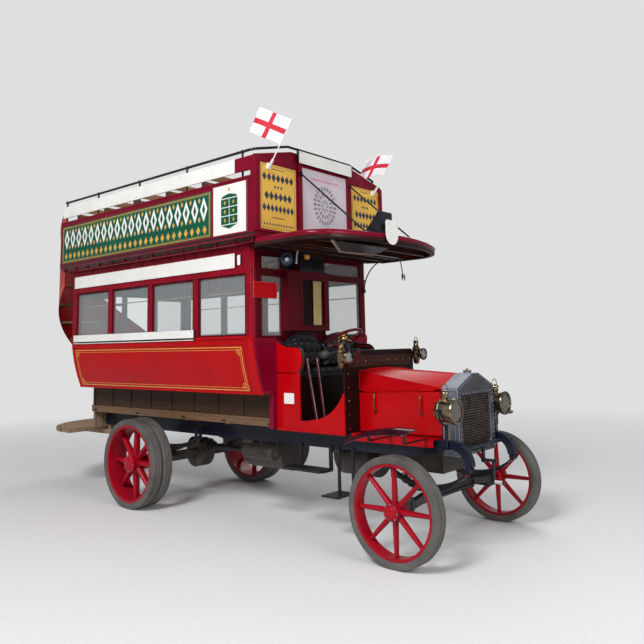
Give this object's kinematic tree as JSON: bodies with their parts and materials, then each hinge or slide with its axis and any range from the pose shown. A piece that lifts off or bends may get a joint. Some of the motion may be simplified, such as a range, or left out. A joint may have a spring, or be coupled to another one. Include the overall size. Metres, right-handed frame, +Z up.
{
  "type": "early open-top double decker motor bus",
  "caption": "Early open-top double decker motor bus with an open cab, winding rear stairs, spoked wheels and solid tyres.",
  "frame": {"origin": "on the ground, in the middle of the bus's length and width", "axes": "+X forward, +Y to the bus's left, +Z up"},
  "size_m": [6.597, 2.12, 4.1846],
  "materials": {
    "body_red": "gloss",
    "wheel_red": "gloss",
    "dark_red": "varnished",
    "frame_black": "gloss",
    "iron": "matt",
    "rubber": "matt",
    "radiator": "satin",
    "core": "matt",
    "dash_brown": "satin",
    "floor_wood": "satin",
    "slat_wood": "varnished",
    "white_board": "gloss",
    "panel_paint": "gloss",
    "glass": "clear",
    "brass": "polished",
    "leather": "satin",
    "flag_cloth": "matt"
  },
  "bodies": {
    "bus": {"chassis_frame": "frame_black", "springs": "frame_black", "front_axle_beam": "frame_black", "rear_axle": "iron", "engine_block": "iron", "electric_drive": "iron", "silencer": "iron", "starting_handle": "frame_black", "radiator_shell": "radiator", "radiator_core": "core", "bonnet_top": "body_red", "bonnet_ledge": "body_red", "dash_board": "dash_brown", "lamps": "brass", "front_mudguards": "frame_black", "cab_floor": "floor_wood", "cab_sides": "body_red", "driver_seat": "dark_red", "seat_cushions": "leather", "steering_column": "frame_black", "control_levers": "dark_red", "cab_steps": "frame_black", "saloon_floor": "floor_wood", "saloon_sides": "body_red", "window_frames": "body_red", "window_glass": "glass", "front_bulkhead": "dark_red", "rear_bulkhead": "dark_red", "saloon_benches": "slat_wood", "sign_boards": "white_board", "upper_floor": "panel_paint", "canopy": "panel_paint", "canopy_stays": "frame_black", "deck_side_panels": "panel_paint", "deck_front_panel": "panel_paint", "deck_rails": "frame_black", "deck_boards": "white_board", "deck_seats": "slat_wood", "flag_poles": "white_board", "flags": "flag_cloth", "rear_platform": "floor_wood", "staircase": "floor_wood", "stair_panel": "panel_paint"},
    "knuckle_offside": {"knuckle_offside": "frame_black"},
    "knuckle_nearside": {"knuckle_nearside": "frame_black"},
    "track_rod": {"track_rod": "frame_black"},
    "front_wheel_offside": {"front_wheel_offside": "wheel_red", "front_tyre_offside": "rubber"},
    "front_wheel_nearside": {"front_wheel_nearside": "wheel_red", "front_tyre_nearside": "rubber"},
    "rear_wheel_offside": {"rear_wheel_offside": "wheel_red", "rear_tyres_offside": "rubber"},
    "rear_wheel_nearside": {"rear_wheel_nearside": "wheel_red", "rear_tyres_nearside": "rubber"},
    "steering_wheel": {"steering_wheel": "dark_red"},
    "bonnet_side_offside": {"bonnet_side_offside": "body_red"},
    "bonnet_side_nearside": {"bonnet_side_nearside": "body_red"}
  },
  "joints": [
    {"name": "steer_offside", "type": "hinge", "parent": "bus", "child": "knuckle_offside", "pos_m": [2.7935, -0.69, 0.438], "axis": [0, 0, 1], "range_deg": [-32, 32]},
    {"name": "steer_nearside", "type": "hinge", "parent": "bus", "child": "knuckle_nearside", "pos_m": [2.7935, 0.69, 0.438], "axis": [0, 0, 1], "range_deg": [-32, 32]},
    {"name": "track_rod_pivot", "type": "hinge", "parent": "knuckle_offside", "child": "track_rod", "pos_m": [2.6235, -0.69, 0.357], "axis": [0, 0, 1], "range_deg": [-32, 32]},
    {"name": "front_spin_offside", "type": "hinge", "parent": "knuckle_offside", "child": "front_wheel_offside", "pos_m": [2.7935, -0.9, 0.438], "axis": [0, 1, 0], "continuous": true},
    {"name": "front_spin_nearside", "type": "hinge", "parent": "knuckle_nearside", "child": "front_wheel_nearside", "pos_m": [2.7935, 0.9, 0.438], "axis": [0, 1, 0], "continuous": true},
    {"name": "rear_spin_offside", "type": "hinge", "parent": "bus", "child": "rear_wheel_offside", "pos_m": [-0.7625, -0.9, 0.492], "axis": [0, 1, 0], "continuous": true},
    {"name": "rear_spin_nearside", "type": "hinge", "parent": "bus", "child": "rear_wheel_nearside", "pos_m": [-0.7625, 0.9, 0.492], "axis": [0, 1, 0], "continuous": true},
    {"name": "steering_wheel_turn", "type": "hinge", "parent": "bus", "child": "steering_wheel", "pos_m": [1.7935, -0.27, 1.84], "axis": [-0.4226, 0, 0.9063], "range_deg": [-320, 320]},
    {"name": "bonnet_side_lift_offside", "type": "hinge", "parent": "bus", "child": "bonnet_side_offside", "pos_m": [2.0435, -0.3725, 1.33], "axis": [-0.9986, -0.0409, -0.034], "range_deg": [0, 110]},
    {"name": "bonnet_side_lift_nearside", "type": "hinge", "parent": "bus", "child": "bonnet_side_nearside", "pos_m": [2.0435, 0.3725, 1.33], "axis": [0.9986, -0.0409, 0.034], "range_deg": [0, 110]}
  ],
  "couplings": [
    {"joint": "steer_nearside", "follows": "steer_offside", "ratio": 1},
    {"joint": "track_rod_pivot", "follows": "steer_offside", "ratio": -1},
    {"joint": "steering_wheel_turn", "follows": "steer_offside", "ratio": 10}
  ]
}
